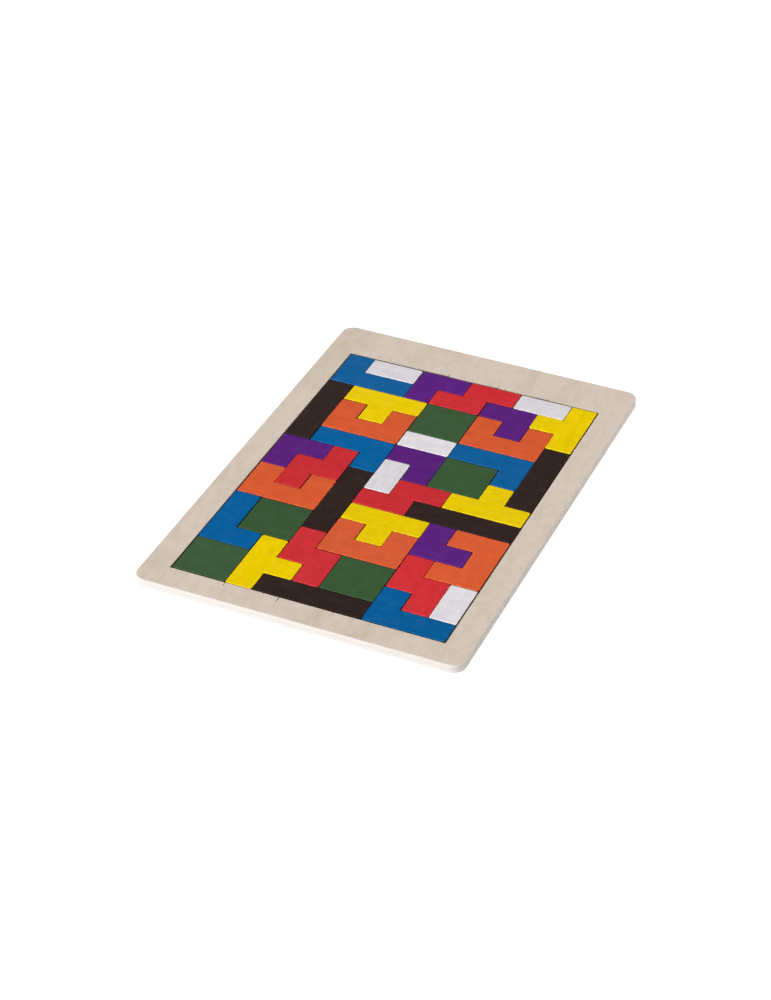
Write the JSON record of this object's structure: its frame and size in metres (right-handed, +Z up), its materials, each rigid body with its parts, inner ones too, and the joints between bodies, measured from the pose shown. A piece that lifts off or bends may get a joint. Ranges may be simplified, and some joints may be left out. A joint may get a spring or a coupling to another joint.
{
  "type": "wooden block puzzle",
  "caption": "Flat wooden tray with a rectangular well, filled flush by loose painted blocks whose outlines are made of square cells.",
  "frame": {"origin": "on the underside of the tray, under the middle of its outline", "axes": "+X to the right across the tray, +Y along the tray towards its wide border, +Z up out of the well"},
  "size_m": [0.1796, 0.268, 0.0048],
  "materials": {
    "plywood_base": "bare sanded plywood",
    "plywood_frame": "bare sanded plywood",
    "blue_paint": "thin satin paint on wood",
    "white_paint": "thin satin paint on wood",
    "purple_paint": "thin satin paint on wood",
    "red_paint": "thin satin paint on wood",
    "black_paint": "thin satin paint on wood",
    "yellow_paint": "thin satin paint on wood",
    "orange_paint": "thin satin paint on wood",
    "green_paint": "thin satin paint on wood"
  },
  "bodies": {
    "root": {"base_panel": "plywood_base", "frame": "plywood_frame", "blue_l_1": "blue_paint", "blue_l_2": "blue_paint", "blue_l_3": "blue_paint", "blue_l_4": "blue_paint", "blue_l_5": "blue_paint", "white_domino_1": "white_paint", "white_domino_2": "white_paint", "white_domino_3": "white_paint", "white_domino_4": "white_paint", "white_domino_5": "white_paint", "purple_corner_1": "purple_paint", "purple_corner_2": "purple_paint", "purple_corner_3": "purple_paint", "purple_corner_4": "purple_paint", "purple_corner_5": "purple_paint", "red_zigzag_1": "red_paint", "red_zigzag_2": "red_paint", "red_zigzag_3": "red_paint", "red_zigzag_4": "red_paint", "red_zigzag_5": "red_paint", "black_bar_1": "black_paint", "black_bar_2": "black_paint", "black_bar_3": "black_paint", "black_bar_4": "black_paint", "black_bar_5": "black_paint", "yellow_tee_1": "yellow_paint", "yellow_tee_2": "yellow_paint", "yellow_tee_3": "yellow_paint", "yellow_tee_4": "yellow_paint", "yellow_tee_5": "yellow_paint", "orange_u_1": "orange_paint", "orange_u_2": "orange_paint", "orange_u_3": "orange_paint", "orange_u_4": "orange_paint", "orange_u_5": "orange_paint", "green_square_1": "green_paint", "green_square_2": "green_paint", "green_square_3": "green_paint", "green_square_4": "green_paint", "green_square_5": "green_paint"}
  },
  "joints": []
}
